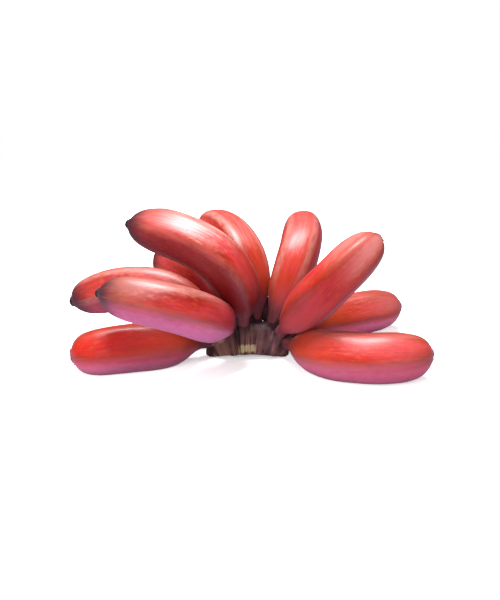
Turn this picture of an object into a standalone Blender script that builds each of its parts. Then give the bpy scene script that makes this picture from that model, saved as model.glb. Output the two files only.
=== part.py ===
"""A hand of red bananas: ten fingers of fruit grown from one cut crown.

Metres, +Z up, +Y away from the hand's front. The hand lies on the plane z = 0, with the
centre of its outline over the origin. Every finger is one closed lofted body with its neck,
ridged fruit and blunt tip; the crown is one body with a short stalk for every finger.
"""
import math

import bmesh
import bpy
from mathutils import Vector

MM = 0.001

# The whole hand is moved by this so that its outline is centred over the origin.
OFFSET = Vector((2.5, -13.6, 0.0)) * MM

# One row a finger, in millimetres and degrees:
# root: where its neck meets the crown; fan: heading in the front plane (0 right, 90 up,
# 180 left); lean: heading away from the front; reach: root to tip in a straight line;
# side, front: bow of the finger clockwise and toward the front; early: how far the bow is
# moved toward the root; girth: greatest diameter; turn: where the first ridge stands;
# blunt: power of the taper, less than 1 for a rounder end; quick: how fast the neck swells;
# start: millimetres from the root where the crown's stalk ends and the finger begins.
FINGERS = {
    "finger_front_1": dict(root=(-37, -9, 14.6), fan=180, lean=-17, reach=123, side=7, front=12,
                           early=-0.3, girth=43, turn=4, blunt=0.75, quick=1.0, start=0),
    "finger_front_2": dict(root=(-17, -14.5, 28), fan=156, lean=-19, reach=130, side=18, front=31,
                           early=0.1, girth=42, turn=37, blunt=1.2, quick=0.94, start=2),
    "finger_front_3": dict(root=(-5, -11, 31), fan=138, lean=5, reach=137, side=35, front=22,
                           early=0.3, girth=41, turn=25, blunt=1.1, quick=0.92, start=4),
    "finger_front_4": dict(root=(28, -12, 24), fan=48.4, lean=-8, reach=129, side=-7, front=25.5,
                           early=-0.3, girth=40, turn=23, blunt=0.9, quick=0.93, start=3),
    "finger_front_5": dict(root=(36, -11, 13.4), fan=4, lean=-21, reach=131, side=-5, front=31,
                           early=-0.1, girth=45, turn=-14, blunt=0.75, quick=0.88, start=0),
    "finger_back_1": dict(root=(-30, 13, 18), fan=174, lean=14, reach=139, side=26, front=-4,
                          early=0.2, girth=40, turn=60, blunt=1.0, quick=1.0, start=0),
    "finger_back_2": dict(root=(-13, 19, 23), fan=158, lean=50, reach=126, side=7, front=-1,
                          early=-0.3, girth=39, turn=20, blunt=1.0, quick=1.0, start=3),
    "finger_back_3": dict(root=(7, 3, 27), fan=125, lean=46, reach=117, side=24, front=26,
                          early=0.1, girth=40, turn=-5, blunt=0.8, quick=0.87, start=7),
    "finger_back_4": dict(root=(19, 2, 25), fan=67.7, lean=42, reach=109, side=0, front=36,
                          early=0.0, girth=38, turn=14, blunt=0.75, quick=0.87, start=7),
    "finger_back_5": dict(root=(36, 12, 13.5), fan=4, lean=27, reach=120, side=-2, front=-4,
                          early=0.2, girth=40, turn=6, blunt=0.9, quick=1.0, start=0),
}

# Radius as a share of half the girth: by millimetres from the root, and by share of length.
SWELL = ((0, 0.27), (6, 0.27), (12, 0.35), (19, 0.52), (27, 0.72), (36, 0.87), (48, 0.96),
         (62, 1.0), (90, 1.0))
TAPER = ((0, 1.0), (0.55, 1.0), (0.70, 0.99), (0.80, 0.95), (0.88, 0.84), (0.93, 0.70),
         (0.965, 0.51), (0.985, 0.34), (1.0, 0.24))
NECK_STATIONS = (6, 12, 18, 25, 33, 43, 55, 68)        # mm from the root
STATION_GAP = 2         # mm, least distance of the first of them from the finger's start
FRUIT_STATIONS = (0.56, 0.64, 0.72, 0.79, 0.85, 0.90, 0.94, 0.97, 0.99, 1.0)
NECK_LENGTH = 20        # mm over which the section goes from round to five-sided
SIDES = 20
RIDGES = 5
RIDGE_POWER = 5.0       # higher is sharper
RIDGE_MEAN = 0.965      # keeps the mean radius of the ridged section
RIDGE_END = 1.06        # share of length where the ridges would be gone
RIDGE_FADE = 4.0        # how fast they fade before that
TIP_DOME = 1.2          # mm the tip's middle stands out
WALK = 240              # steps used to measure along a finger

GAP = 0.3               # mm between the crown's stalks and the fingers' necks
STALK_SIDES = 12
STALK_STEPS = 5
STALK_COLLAR = 3.5          # mm of straight stalk under each neck
STALK_FOOT_RADIUS = 6.8
STALK_FOOT_HEIGHT = 4
STALK_FOOT_SHARE = 0.66     # the foot's distance from the middle, as a share of the root's
STALK_PULL = 16             # mm, how strongly a stalk leaves its foot and meets its neck

# The crown's block, ring by ring, in millimetres: height, middle x and y, half width and depth.
BLOCK_RINGS = ((0, -1, 3, 38, 19), (6, -1, 3, 37, 18.5), (11, -1, 2.5, 34, 17.5),
               (15, 0, 0.5, 29, 16), (19, 3, -3, 24, 12.5), (23, 5, -5, 18, 10),
               (27, 7, -5, 13.5, 8), (30.5, 9, -3.5, 8, 5.5))
BLOCK_SIDES = 32
BLOCK_SQUARE = 0.55         # power that squares the rings off; 1 is an ellipse
CUT_MIDDLE = (-1, 3)
CUT_RADIUS = 142            # the knife's arch under the crown
CUT_TOP = 4.0
CUT_LENGTH = 90
CUT_SIDES = 160

PEEL = ("peel", (0.56, 0.07, 0.06), 0.35)
BARK = ("crown", (0.24, 0.15, 0.13), 0.75)


def smooth_value(table, x):
    """Monotone cubic through a table of (position, value)."""
    xs = [row[0] for row in table]
    ys = [row[1] for row in table]
    steps = [xs[i + 1] - xs[i] for i in range(len(xs) - 1)]
    rises = [(ys[i + 1] - ys[i]) / steps[i] for i in range(len(steps))]
    slopes = [rises[0]] + [0.0] * (len(xs) - 2) + [rises[-1]]
    for i in range(1, len(xs) - 1):
        if rises[i - 1] * rises[i] > 0:
            before = 2 * steps[i] + steps[i - 1]
            after = steps[i] + 2 * steps[i - 1]
            slopes[i] = (before + after) / (before / rises[i - 1] + after / rises[i])
    x = min(max(x, xs[0]), xs[-1])
    i = 0
    while i < len(steps) - 1 and x > xs[i + 1]:
        i += 1
    t = (x - xs[i]) / steps[i]
    return ((1 + 2 * t) * (1 - t) ** 2 * ys[i] + t * (1 - t) ** 2 * steps[i] * slopes[i]
            + t * t * (3 - 2 * t) * ys[i + 1] + t * t * (t - 1) * steps[i] * slopes[i + 1])


def finger_axes(finger):
    """Heading, clockwise side and front side of a finger."""
    fan = math.radians(finger["fan"])
    lean = math.radians(finger["lean"])
    heading = Vector((math.cos(lean) * math.cos(fan), math.sin(lean),
                      math.cos(lean) * math.sin(fan)))
    side = Vector((math.sin(fan), 0.0, -math.cos(fan)))
    front = Vector((math.sin(lean) * math.cos(fan), -math.cos(lean),
                    math.sin(lean) * math.sin(fan)))
    return heading, side, front


def walk(finger):
    """Points along a finger's centreline, their lengths from the root, and ridge directions."""
    heading, side, front = finger_axes(finger)
    bow_by = side * finger["side"] + front * finger["front"]
    root = Vector(finger["root"])
    points = []
    for i in range(WALK + 1):
        t = i / WALK
        bow = 4 * t * (1 - t) * (1 + finger["early"] * (1 - 2 * t))
        points.append(root + heading * (finger["reach"] * t) + bow_by * bow)
    lengths = [0.0]
    for i in range(WALK):
        lengths.append(lengths[-1] + (points[i + 1] - points[i]).length)
    tangents = []
    for i in range(WALK + 1):
        ahead = points[min(i + 1, WALK)]
        behind = points[max(i - 1, 0)]
        tangents.append((ahead - behind).normalized())
    carried = Vector((0.0, -1.0, 0.0))
    normals = []
    for tangent in tangents:
        carried = (carried - tangent * carried.dot(tangent)).normalized()
        normals.append(carried)
    return points, lengths, tangents, normals


def at_length(track, lengths, where):
    """A track's value at a length along the finger."""
    for i in range(len(lengths) - 1):
        if lengths[i + 1] >= where:
            share = (where - lengths[i]) / (lengths[i + 1] - lengths[i])
            return track[i].lerp(track[i + 1], share)
    return track[-1].copy()


def ridge_factor(angle, turn):
    """A five-sided soft section: 1 on average, more on the ridges."""
    total = 0.0
    for k in range(RIDGES):
        face = turn + math.radians(36 + 72 * k)
        total += max(0.0, math.cos(angle - face)) ** RIDGE_POWER
    return RIDGE_MEAN * total ** (-1 / RIDGE_POWER)


def finger_radius(finger, where, length):
    """Mean radius at a length along the finger, in millimetres."""
    share = where / length
    swell = smooth_value(SWELL, where * finger["quick"]) if share < FRUIT_STATIONS[0] else 1.0
    return finger["girth"] / 2 * swell * smooth_value(TAPER, share) ** finger["blunt"]


def make_finger(name, finger):
    """One closed body: rings lofted from the neck's flat base to the domed tip."""
    points, lengths, tangents, normals = walk(finger)
    length = lengths[-1]
    turn = math.radians(finger["turn"])
    start = finger["start"]
    stations = [start] + [where for where in NECK_STATIONS if where > start + STATION_GAP]
    stations += [share * length for share in FRUIT_STATIONS]
    mesh = bmesh.new()
    rings = []
    for where in stations:
        centre = at_length(points, lengths, where)
        tangent = at_length(tangents, lengths, where).normalized()
        normal = at_length(normals, lengths, where)
        normal = (normal - tangent * normal.dot(tangent)).normalized()
        across = tangent.cross(normal)
        radius = finger_radius(finger, where, length)
        ridged = min(1.0, where / NECK_LENGTH)
        ridged *= min(1.0, RIDGE_FADE * (RIDGE_END - where / length))
        ring = []
        for i in range(SIDES):
            angle = turn + 2 * math.pi * i / SIDES
            reach = radius * (1 + ridged * (ridge_factor(angle, turn) - 1))
            spot = centre + (normal * math.cos(angle) + across * math.sin(angle)) * reach
            spot.z = max(spot.z, 0.0)
            ring.append(mesh.verts.new(spot * MM + OFFSET))
        rings.append(ring)
    for lower, upper in zip(rings, rings[1:]):
        for i in range(SIDES):
            j = (i + 1) % SIDES
            mesh.faces.new((lower[i], lower[j], upper[j], upper[i]))
    mesh.faces.new(list(reversed(rings[0])))
    pole = mesh.verts.new((points[-1] + tangents[-1] * TIP_DOME) * MM + OFFSET)
    for i in range(SIDES):
        mesh.faces.new((rings[-1][i], rings[-1][(i + 1) % SIDES], pole))
    bmesh.ops.recalc_face_normals(mesh, faces=mesh.faces)
    return finish(name, mesh, PEEL)


def finish(name, mesh, look):
    """Turn a bmesh into a named object with its material, shaded smooth."""
    data = bpy.data.meshes.new(name)
    mesh.to_mesh(data)
    mesh.free()
    for polygon in data.polygons:
        polygon.use_smooth = True
    thing = bpy.data.objects.new(name, data)
    hand.objects.link(thing)
    slot, colour, roughness = look
    material = bpy.data.materials.get(slot)
    if material is None:
        material = bpy.data.materials.new(slot)
        material.use_nodes = True
        shader = material.node_tree.nodes["Principled BSDF"]
        shader.inputs["Base Color"].default_value = (*colour, 1.0)
        shader.inputs["Roughness"].default_value = roughness
        shader.inputs["Metallic"].default_value = 0.0
    data.materials.append(material)
    return thing


def stalk_points(finger):
    """A stalk's centreline from its foot in the crown to just short of the neck."""
    points, lengths, tangents, _ = walk(finger)
    neck = at_length(points, lengths, finger["start"])
    tangent = at_length(tangents, lengths, finger["start"]).normalized()
    end = neck - tangent * (GAP + STALK_COLLAR)
    foot = Vector((end.x * STALK_FOOT_SHARE, end.y, STALK_FOOT_HEIGHT))
    rise = Vector((end.x - foot.x, 0.0, end.z - foot.z)).normalized()
    track = []
    for i in range(STALK_STEPS + 1):
        t = i / STALK_STEPS
        track.append(foot * (1 + 2 * t) * (1 - t) ** 2 + rise * STALK_PULL * t * (1 - t) ** 2
                     + end * t * t * (3 - 2 * t) + tangent * STALK_PULL * t * t * (t - 1))
    track.append(neck - tangent * GAP)
    return track, tangent


def make_stalk(name, finger):
    """A tapering tube with flat ends, the last ring square to the finger's neck."""
    track, tangent = stalk_points(finger)
    end_radius = finger["girth"] / 2 * SWELL[0][1]
    mesh = bmesh.new()
    normal = Vector((0.0, -1.0, 0.0))
    rings = []
    for i, spot in enumerate(track):
        ahead = track[min(i + 1, len(track) - 1)]
        behind = track[max(i - 1, 0)]
        along = (ahead - behind).normalized() if i < STALK_STEPS else tangent
        normal = (normal - along * normal.dot(along)).normalized()
        across = along.cross(normal)
        share = min(1.0, i / STALK_STEPS)
        radius = STALK_FOOT_RADIUS + (end_radius - STALK_FOOT_RADIUS) * share
        ring = []
        for k in range(STALK_SIDES):
            angle = 2 * math.pi * k / STALK_SIDES
            offset = (normal * math.cos(angle) + across * math.sin(angle)) * radius
            ring.append(mesh.verts.new((spot + offset) * MM + OFFSET))
        rings.append(ring)
    for lower, upper in zip(rings, rings[1:]):
        for k in range(STALK_SIDES):
            j = (k + 1) % STALK_SIDES
            mesh.faces.new((lower[k], lower[j], upper[j], upper[k]))
    mesh.faces.new(list(reversed(rings[0])))
    mesh.faces.new(rings[-1])
    bmesh.ops.recalc_face_normals(mesh, faces=mesh.faces)
    data = bpy.data.meshes.new(name)
    mesh.to_mesh(data)
    mesh.free()
    tube = bpy.data.objects.new(name, data)
    stalks.objects.link(tube)
    tube.hide_render = True
    tube.display_type = "WIRE"
    return tube


def use_modifiers(thing):
    """Give the object the mesh its modifiers make, and remove them."""
    graph = bpy.context.evaluated_depsgraph_get()
    data = bpy.data.meshes.new_from_object(thing.evaluated_get(graph))
    thing.modifiers.clear()
    thing.data = data


def make_crown():
    """A squared-off block with a stalk for every finger, cut from below on an arch."""
    mesh = bmesh.new()
    rings = []
    for height, middle_x, middle_y, half_width, half_depth in BLOCK_RINGS:
        ring = []
        for i in range(BLOCK_SIDES):
            angle = 2 * math.pi * i / BLOCK_SIDES
            along = math.copysign(abs(math.cos(angle)) ** BLOCK_SQUARE, math.cos(angle))
            across = math.copysign(abs(math.sin(angle)) ** BLOCK_SQUARE, math.sin(angle))
            spot = Vector((middle_x + half_width * along, middle_y + half_depth * across, height))
            ring.append(mesh.verts.new(spot * MM + OFFSET))
        rings.append(ring)
    for lower, upper in zip(rings, rings[1:]):
        for i in range(BLOCK_SIDES):
            j = (i + 1) % BLOCK_SIDES
            mesh.faces.new((lower[i], lower[j], upper[j], upper[i]))
    mesh.faces.new(list(reversed(rings[0])))
    mesh.faces.new(rings[-1])
    bmesh.ops.recalc_face_normals(mesh, faces=mesh.faces)
    crown = finish("crown", mesh, BARK)
    for name, finger in FINGERS.items():
        make_stalk("stalk_" + name, finger)
    join = crown.modifiers.new("stalks", "BOOLEAN")
    join.operation = "UNION"
    join.operand_type = "COLLECTION"
    join.collection = stalks
    join.solver = "EXACT"
    join.use_self = True
    cutter_mesh = bmesh.new()
    bmesh.ops.create_cone(cutter_mesh, cap_ends=True, segments=CUT_SIDES, radius1=CUT_RADIUS * MM,
                          radius2=CUT_RADIUS * MM, depth=CUT_LENGTH * MM)
    cutter_data = bpy.data.meshes.new("knife")
    cutter_mesh.to_mesh(cutter_data)
    cutter_mesh.free()
    knife = bpy.data.objects.new("knife", cutter_data)
    cutters.objects.link(knife)
    knife.hide_render = True
    knife.display_type = "WIRE"
    knife.rotation_euler = (math.radians(90), 0.0, 0.0)
    knife.location = Vector((*CUT_MIDDLE, CUT_TOP - CUT_RADIUS)) * MM + OFFSET
    cut = crown.modifiers.new("knife", "BOOLEAN")
    cut.operation = "DIFFERENCE"
    cut.object = knife
    cut.solver = "EXACT"
    bpy.context.view_layer.update()
    use_modifiers(crown)
    for tube in list(stalks.objects):
        bpy.data.objects.remove(tube, do_unlink=True)
    tidy = bmesh.new()
    tidy.from_mesh(crown.data)
    bmesh.ops.remove_doubles(tidy, verts=tidy.verts, dist=0.00005)
    bmesh.ops.recalc_face_normals(tidy, faces=tidy.faces)
    tidy.to_mesh(crown.data)
    tidy.free()
    for polygon in crown.data.polygons:
        polygon.use_smooth = True


for old in list(bpy.data.objects):
    bpy.data.objects.remove(old, do_unlink=True)
hand = bpy.data.collections.new("hand_of_red_bananas")
bpy.context.scene.collection.children.link(hand)
stalks = bpy.data.collections.new("stalks")
bpy.context.scene.collection.children.link(stalks)
cutters = bpy.data.collections.new("cutters")
bpy.context.scene.collection.children.link(cutters)
make_crown()
for finger_name, finger_row in FINGERS.items():
    make_finger(finger_name, finger_row)
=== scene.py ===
"""Looks of a hand of red bananas: ridged waxy fruit, dark tips, fibrous cut crown, plain studio.

Laid out as an add-on and run as a script. Lengths inside the functions are in millimetres and
the meshes are in metres, in the same frame as the solids: +Z up, -Y to the hand's front.
"""
import math

import bmesh
import bpy
import numpy as np
from bpy.props import FloatProperty, FloatVectorProperty, IntProperty, PointerProperty
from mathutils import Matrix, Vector


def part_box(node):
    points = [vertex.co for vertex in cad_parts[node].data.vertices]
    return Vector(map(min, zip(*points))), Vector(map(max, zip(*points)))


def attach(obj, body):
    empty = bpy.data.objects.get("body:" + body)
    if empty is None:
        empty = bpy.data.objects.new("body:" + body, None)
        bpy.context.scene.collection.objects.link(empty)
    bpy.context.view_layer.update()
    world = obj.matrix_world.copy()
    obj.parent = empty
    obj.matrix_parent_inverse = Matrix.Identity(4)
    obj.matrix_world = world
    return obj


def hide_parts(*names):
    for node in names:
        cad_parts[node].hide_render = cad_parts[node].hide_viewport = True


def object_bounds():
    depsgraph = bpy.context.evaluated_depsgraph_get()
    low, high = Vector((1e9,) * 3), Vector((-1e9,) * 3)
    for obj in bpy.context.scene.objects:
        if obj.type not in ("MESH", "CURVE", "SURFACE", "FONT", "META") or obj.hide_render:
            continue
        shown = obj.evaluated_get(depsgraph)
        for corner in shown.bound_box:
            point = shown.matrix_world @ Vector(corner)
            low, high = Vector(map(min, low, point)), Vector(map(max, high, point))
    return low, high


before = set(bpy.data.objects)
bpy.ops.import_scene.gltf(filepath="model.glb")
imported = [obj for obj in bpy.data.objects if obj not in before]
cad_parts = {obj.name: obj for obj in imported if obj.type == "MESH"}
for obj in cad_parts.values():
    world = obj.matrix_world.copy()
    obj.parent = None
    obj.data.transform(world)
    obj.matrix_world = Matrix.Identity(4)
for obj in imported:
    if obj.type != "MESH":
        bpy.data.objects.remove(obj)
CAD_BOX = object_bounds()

bl_info = {
    "name": "Hand of red bananas",
    "version": (1, 0, 0),
    "blender": (4, 5, 0),
    "location": "View3D > Sidebar > Red bananas",
    "description": "Builds the peel, tips, crown and studio of a hand of red bananas",
    "category": "Object",
}

MM = 0.001
OFFSET = np.array((2.5, -13.6, 0.0))    # centres the hand's outline over the origin

# One row a finger, in millimetres and degrees. Its first two lines are its solid's, apart from
# `quick` of the third and fourth back finger, whose necks swell a little faster here:
# root: where the neck meets the crown; fan and lean: heading; reach: root to tip; side and
# front: bow; early: how far the bow is moved toward the root; girth: greatest diameter;
# turn: where the first ridge stands; blunt: power of the taper, less than 1 for a rounder
# end; quick: how fast the neck swells; start: where the crown's stalk ends.
# The rest are its looks, mostly strengths from 0 to 1:
# crisp: power of the section, higher for sharper ridges; seed: picks its unevenness and its
# patches; orange: warmth toward the neck; olive: brownish green toward the tip; bloom: pale
# waxy veil; deep: darker red patches; dark: reach of the dark tip; pale: pinkish tan toward
# the tip; under_shade: painted shade on the underside; pink: pinker underside, part waxy
# bloom and part painted reflection of the floor; painted_highlight: painted highlight on top;
# neck_shade: painted shade toward the neck; gloss: glossiness of the peel; brown: extra
# millimetres of brown neck; ridge_highlight: painted highlight along the ridges; violet:
# bluer underside, part bloom and part painted reflection.
FINGERS = {
    "finger_front_1": dict(root=(-37, -9, 14.6), fan=180, lean=-17, reach=123, side=7, front=12,
                           early=-0.3, girth=43, turn=4, blunt=0.75, quick=1.0, start=0,
                           crisp=4.5, seed=1, orange=0.9, olive=0.1, bloom=0.25, deep=0.05,
                           dark=0.1, pale=0.0, under_shade=0.05, pink=1.0, painted_highlight=0.05, neck_shade=0.15,
                           gloss=0.85, brown=0, ridge_highlight=0.0, violet=0.0),
    "finger_front_2": dict(root=(-17, -14.5, 28), fan=156, lean=-19, reach=130, side=18, front=31,
                           early=0.1, girth=42, turn=37, blunt=1.2, quick=0.94, start=2,
                           crisp=5, seed=2, orange=0.2, olive=0.9, bloom=0.8, deep=0.9, dark=1.25,
                           pale=0.15, under_shade=0.1, pink=0.9, painted_highlight=0.45, neck_shade=0.15, gloss=1.0,
                           brown=0, ridge_highlight=0.1, violet=0.6),
    "finger_front_3": dict(root=(-5, -11, 31), fan=138, lean=5, reach=137, side=35, front=22,
                           early=0.3, girth=41, turn=25, blunt=1.1, quick=0.92, start=4,
                           crisp=5, seed=3, orange=0.3, olive=0.2, bloom=0.6, deep=0.7, dark=1.25,
                           pale=0.1, under_shade=0.9, pink=0.0, painted_highlight=0.8, neck_shade=0.1, gloss=0.7,
                           brown=8, ridge_highlight=0.1, violet=0.0),
    "finger_front_4": dict(root=(28, -12, 24), fan=48.4, lean=-8, reach=129, side=-7, front=25.5,
                           early=-0.3, girth=40, turn=23, blunt=0.9, quick=0.93, start=3,
                           crisp=7, seed=4, orange=0.4, olive=0.4, bloom=0.4, deep=0.1, dark=0.12,
                           pale=0.8, under_shade=0.15, pink=0.15, painted_highlight=0.15, neck_shade=0.3, gloss=0.5,
                           brown=0, ridge_highlight=0.0, violet=0.0),
    "finger_front_5": dict(root=(36, -11, 13.4), fan=4, lean=-21, reach=131, side=-5, front=31,
                           early=-0.1, girth=45, turn=-14, blunt=0.75, quick=0.88, start=0,
                           crisp=5, seed=5, orange=0.8, olive=0.3, bloom=0.5, deep=0.25, dark=0.05,
                           pale=0.15, under_shade=0.1, pink=0.75, painted_highlight=0.1, neck_shade=0.1, gloss=0.7,
                           brown=0, ridge_highlight=0.1, violet=0.1),
    "finger_back_1": dict(root=(-30, 13, 18), fan=174, lean=14, reach=139, side=26, front=-4,
                           early=0.2, girth=40, turn=60, blunt=1.0, quick=1.0, start=0,
                           crisp=6, seed=6, orange=0.5, olive=0.2, bloom=0.4, deep=0.7, dark=1.2,
                           pale=0.1, under_shade=0.45, pink=0.3, painted_highlight=0.3, neck_shade=0.5, gloss=0.55,
                           brown=0, ridge_highlight=0.25, violet=0.0),
    "finger_back_2": dict(root=(-13, 19, 23), fan=158, lean=50, reach=126, side=7, front=-1,
                           early=-0.3, girth=39, turn=20, blunt=1.0, quick=1.0, start=3,
                           crisp=4.5, seed=7, orange=0.3, olive=0.3, bloom=0.6, deep=0.9, dark=1.3,
                           pale=0.2, under_shade=0.4, pink=0.7, painted_highlight=0.0, neck_shade=0.95, gloss=0.05,
                           brown=0, ridge_highlight=0.0, violet=0.9),
    "finger_back_3": dict(root=(7, 3, 27), fan=125, lean=46, reach=117, side=24, front=26,
                           early=0.1, girth=40, turn=-5, blunt=0.8, quick=0.90, start=7,
                           crisp=5.5, seed=8, orange=0.8, olive=0.1, bloom=0.5, deep=0.3, dark=0.3,
                           pale=0.2, under_shade=0.5, pink=0.0, painted_highlight=0.3, neck_shade=0.2, gloss=0.6,
                           brown=10, ridge_highlight=0.35, violet=0.3),
    "finger_back_4": dict(root=(19, 2, 25), fan=67.7, lean=42, reach=109, side=0, front=36,
                           early=0.0, girth=38, turn=14, blunt=0.75, quick=0.90, start=7,
                           crisp=4, seed=9, orange=0.6, olive=0.2, bloom=0.5, deep=0.3, dark=0.2,
                           pale=0.25, under_shade=0.2, pink=0.3, painted_highlight=0.25, neck_shade=0.15, gloss=0.5,
                           brown=10, ridge_highlight=0.3, violet=0.3),
    "finger_back_5": dict(root=(36, 12, 13.5), fan=4, lean=27, reach=120, side=-2, front=-4,
                           early=0.2, girth=40, turn=6, blunt=0.9, quick=1.0, start=0,
                           crisp=5.5, seed=10, orange=1.0, olive=0.5, bloom=0.5, deep=0.1,
                           dark=0.2, pale=0.35, under_shade=0.0, pink=0.8, painted_highlight=0.2, neck_shade=0.1,
                           gloss=0.6, brown=0, ridge_highlight=0.0, violet=0.1),
}

# Radius as a share of half the girth, by millimetres from the root and by share of length.
SWELL = ((0, 0.27), (6, 0.27), (12, 0.35), (19, 0.52), (27, 0.72), (36, 0.87),
         (48, 0.96), (62, 1.0), (90, 1.0))
TAPER = ((-0.1, 1.0), (0.55, 1.0), (0.70, 0.99), (0.80, 0.95), (0.88, 0.84), (0.93, 0.70),
         (0.965, 0.51), (0.985, 0.34), (1.0, 0.24))
# Dried tip past the end of the finger: millimetres past it and millimetres of radius as a
# share of the end's, out over a rim and back into a small pit.
TIP = ((0.35, 0.97), (0.7, 0.90), (1.0, 0.80), (1.3, 0.72), (1.75, 0.66), (2.05, 0.56),
       (1.95, 0.42), (1.6, 0.30), (1.35, 0.20), (1.3, 0.08))
# Dark fills in the gaps between the upper necks, standing in for their shade: centre and
# half sizes, in millimetres.
SHADE_FILLS = (((16.5, 7, 39), (6.5, 4, 13)), ((1.5, 1, 32), (6, 6, 7)), ((25.5, -1, 27), (6, 4, 8)))
SHADE_FILL_RINGS = 13
SHADE_FILL_SIDES = 24

WALK = 4001             # points used to measure along a finger
SWELL_END = 0.56        # share of length past which the finger has its full swell
PEEL_OVER = 1.01        # factor by which the peel stands over the solid
NECK_LENGTH = 20        # mm over which the section goes from round to five-sided
NECK_INSIDE = 3.4       # mm that the neck runs back over its stalk
NECK_TUCK = 0.12        # share by which it narrows there
NECK_FIBRES = 0.22      # mm, height of the six fibres of a neck
FIBRE_LENGTH = 30       # mm over which they fade and the unevenness sets in
RIDGES = 5
RIDGE_LINE = 18         # higher is a narrower line along a ridge
RIDGE_END = 1.06        # share of length where the ridges would be gone
RIDGE_FADE = 4          # how fast they fade before that
END_LENGTH = 12         # mm before the tip with closer rings
END_RINGS = 24
RIM_FIVE = 0.07         # unevenness of the dried rim in five waves, and in eleven
RIM_ELEVEN = 0.05
WAIST = (0.05, 1.2, 1.3)    # dip before the tip: depth as a share, mm before the end, width in mm
GRAIN_PITCH = 0.045     # length along the peel as its streaks see it, for each mm
OFF_SOLID = 0.006       # metres that a finger's box may differ from its solid's

# Line under the crown that its fibres fan out from, in millimetres: x and height.
FAN_X, FAN_Z = -1.0, -38.0
FIBRE_WAVES = 9
WELD = 0.00002          # metres

SEED_STEP = 7.31        # keeps the patches of two fingers apart
SPECK_SCALE = 260.0
SPECK_SIZE = 0.16
VIOLET_PINK = (-0.05, 0.0, 0.10)    # what a bluer underside adds to pink, and to lilac
VIOLET_LILAC = (-0.06, 0.0, 0.13)
FRESH_TIP = (0.26, 0.030, 0.022)    # what a tip that isn't dark adds to the dried one's colour
# Marks on the crown, in metres: a scar of torn flesh in front, a dark heel and its notch.
SCAR_X, SCAR_Z = 0.0015, 0.0105
HEEL_X = (-0.0300, -0.0280)
HEEL_TOP = (0.0095, 0.0115)
NOTCH_Z = 0.0128

# Stage, in metres.
FLOOR_HALF = 6.0
KEY_SIZE, KEY_PLACE = (1.5, 1.0), (-0.15, 0.20, 2.9)
FILL_SIZE, FILL_PLACE = (1.4, 0.9), (-0.8, -2.2, 1.45)
LOOK_AT = (1.35, 0.0, 51.0)     # mm, from the point that the fingers are measured from
SENSOR = 36.0           # mm


def colour_setting(name, description, default):
    """A colour among the settings."""
    return FloatVectorProperty(name=name, description=description, size=3, subtype="COLOR",
                               default=default, min=0, max=1)


class PeelSettings(bpy.types.PropertyGroup):
    """Shape and colours of the fingers."""

    around: IntProperty(name="Around", description="Faces around a finger", default=120, min=40)
    along: IntProperty(name="Along", description="Faces along a finger", default=230, min=60)
    crispness: FloatProperty(name="Ridge sharpness", description="Factor on every finger's own",
                             default=1.0, min=0.3, max=2.0)
    ridge_drift: FloatProperty(name="Ridge drift", description="How far ridges wander sideways",
                               default=5.0, min=0.0)
    wobble: FloatProperty(name="Unevenness", description="Soft dents and swellings, millimetres",
                          default=0.35, min=0.0)
    red: colour_setting("Red", "Main colour of the peel", (0.57, 0.011, 0.009))
    deep_red: colour_setting("Deep red", "Darker patches", (0.26, 0.006, 0.006))
    orange: colour_setting("Orange", "Warm zone by the neck", (0.56, 0.082, 0.020))
    olive: colour_setting("Olive", "Brownish green toward the tip", (0.19, 0.050, 0.012))
    bloom: colour_setting("Bloom", "Pale waxy veil", (0.56, 0.11, 0.16))
    tan: colour_setting("Tan", "Pale pinkish tan toward the tip", (0.56, 0.20, 0.18))
    # Colour of the painted shade on undersides and toward the neck.
    shade_maroon: colour_setting("Maroon", "Dark red of some undersides", (0.120, 0.003, 0.005))
    # Underside colours, pink and lilac: part waxy bloom and part painted reflection of the white
    # floor.
    pink: colour_setting("Pink", "Lilac pink of some undersides", (0.60, 0.105, 0.210))
    lilac: colour_setting("Lilac", "Palest part of an underside", (0.74, 0.33, 0.46))
    # Colour of the painted highlights, on tops and along the ridges.
    painted_highlight: colour_setting("Cream", "Waxy bloom on top", (0.76, 0.38, 0.34))
    neck: colour_setting("Neck", "Colour of the neck", (0.230, 0.058, 0.062))
    tip: colour_setting("Tip", "Colour of the dried tip", (0.018, 0.008, 0.010))
    bruise: colour_setting("Bruise", "Purple brown before the tip", (0.050, 0.010, 0.017))
    roughness: FloatProperty(name="Roughness", description="Roughness of the peel",
                             default=0.40, min=0.0, max=1.0)


class CrownSettings(bpy.types.PropertyGroup):
    """Shape and colours of the crown."""

    voxel: FloatProperty(name="Detail", description="Size of the crown's faces", unit="LENGTH",
                         default=0.0006, min=0.0002)
    smoothing: IntProperty(name="Smoothing", description="Rounds of smoothing of its joins",
                           default=14, min=0)
    rib_depth: FloatProperty(name="Fibre depth", description="Height of the fibres, millimetres",
                             default=0.8, min=0.0)
    bark: colour_setting("Bark", "Main colour of the crown", (0.275, 0.140, 0.092))
    purple: colour_setting("Purple", "Colour on the right", (0.110, 0.042, 0.058))
    # Dark colour of the fibre streaks and the heel, also used for painted shade in the grooves and
    # toward the top.
    shade: colour_setting("Groove", "Colour in its grooves", (0.030, 0.009, 0.014))
    flesh: colour_setting("Cut", "Colour of the cut and its scar", (0.52, 0.42, 0.22))


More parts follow.
